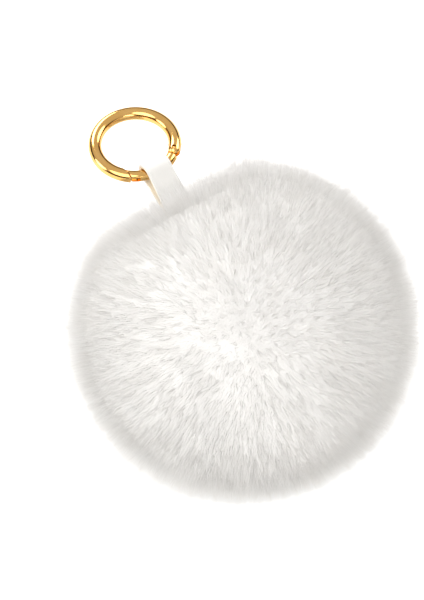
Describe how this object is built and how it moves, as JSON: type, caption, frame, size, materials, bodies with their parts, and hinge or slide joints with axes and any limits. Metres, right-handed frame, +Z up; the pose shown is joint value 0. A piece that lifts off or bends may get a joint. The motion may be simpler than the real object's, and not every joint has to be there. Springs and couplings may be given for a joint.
{
  "type": "plush keychain",
  "caption": "White faux-fur ball on a folded strap, with a round gold ring that opens at a spring gate, to clip on keys or a bag.",
  "frame": {"origin": "middle of the flat that the fur ball rests on, under the ball's centre", "axes": "+Z up from the surface it rests on, +Y towards the side that the strap and ring leave the ball on"},
  "size_m": [0.13, 0.1544, 0.1261],
  "materials": {
    "fur": "matte",
    "fibre": "matte",
    "thread": "satin",
    "strap_white": "satin",
    "strap_cream": "matte",
    "gold": "polished",
    "steel": "satin"
  },
  "bodies": {
    "fur_ball": {"fur_cover": "fur", "stuffing": "fibre", "gather_thread": "thread", "strap_tails": "strap_white", "strap_stitches": "thread"},
    "strap": {"strap_face": "strap_white", "strap_lining": "strap_cream"},
    "gate": {"gate": "gold"},
    "ring": {"ring_body": "gold", "hinge_pin": "gold", "gate_spring": "steel"},
    "plunger": {"gate_plunger": "steel"}
  },
  "joints": [
    {"name": "strap_flex", "type": "hinge", "parent": "fur_ball", "child": "strap", "pos_m": [0, 0.04313, 0.08647], "axis": [1, 0, 0], "range_deg": [-35, 35], "stiffness_Nm_per_rad": 0.02, "springref_deg": 1.72},
    {"name": "ring_swing", "type": "hinge", "parent": "strap", "child": "gate", "pos_m": [0, 0.05744, 0.09487], "axis": [1, 0, 0], "range_deg": [-38, 98]},
    {"name": "gate_hinge", "type": "hinge", "parent": "gate", "child": "ring", "pos_m": [0.01061, 0.06149, 0.09487], "axis": [0, 0, 1], "range_deg": [0, 22], "stiffness_Nm_per_rad": 0.01, "springref_deg": -11.46},
    {"name": "plunger_slide", "type": "slide", "parent": "ring", "child": "plunger", "axis": [0.5244, 0.8514, 0], "range_m": [0, 0.0007], "deforming": ["gate_spring"]}
  ],
  "couplings": [
    {"joint": "plunger_slide", "follows": "gate_hinge", "m_per_rad": 0.0015}
  ]
}
